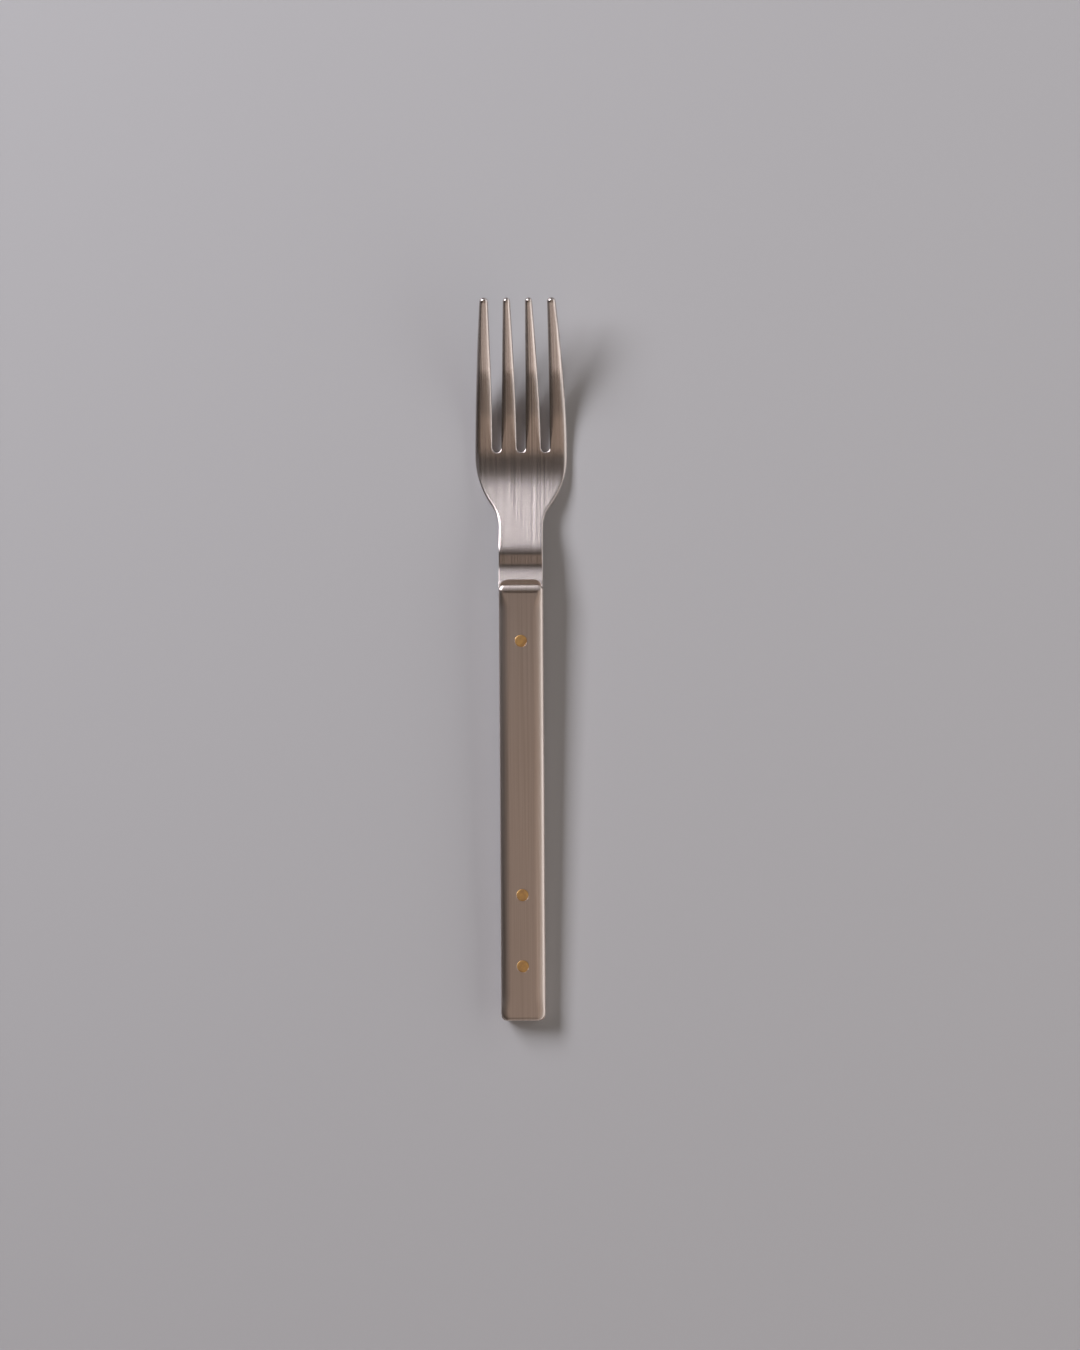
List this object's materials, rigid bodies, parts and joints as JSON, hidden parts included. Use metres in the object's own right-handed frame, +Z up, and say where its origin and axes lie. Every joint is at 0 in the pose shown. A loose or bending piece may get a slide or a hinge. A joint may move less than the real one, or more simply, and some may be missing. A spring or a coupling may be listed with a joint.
{
  "type": "table fork",
  "caption": "Table fork with a brushed steel head and full tang, two steel cover scales and flush brass rivets.",
  "frame": {"origin": "below the middle of the fork's box, on the surface that it lies on", "axes": "+Z up from the table, +Y along the handle's line towards the tine tips, +X to the right seen from above with the tips pointing away; the fork lies with its hollow side up"},
  "size_m": [0.026, 0.2048, 0.0184],
  "materials": {
    "head_steel": "satin, brushed along the length",
    "scale_steel": "satin, brushed along the length",
    "rivet_brass": "ground flush, dull"
  },
  "bodies": {
    "root": {"head": "head_steel", "tang": "head_steel", "top_scale": "scale_steel", "bottom_scale": "scale_steel", "front_rivet": "rivet_brass", "middle_rivet": "rivet_brass", "end_rivet": "rivet_brass"}
  },
  "joints": []
}
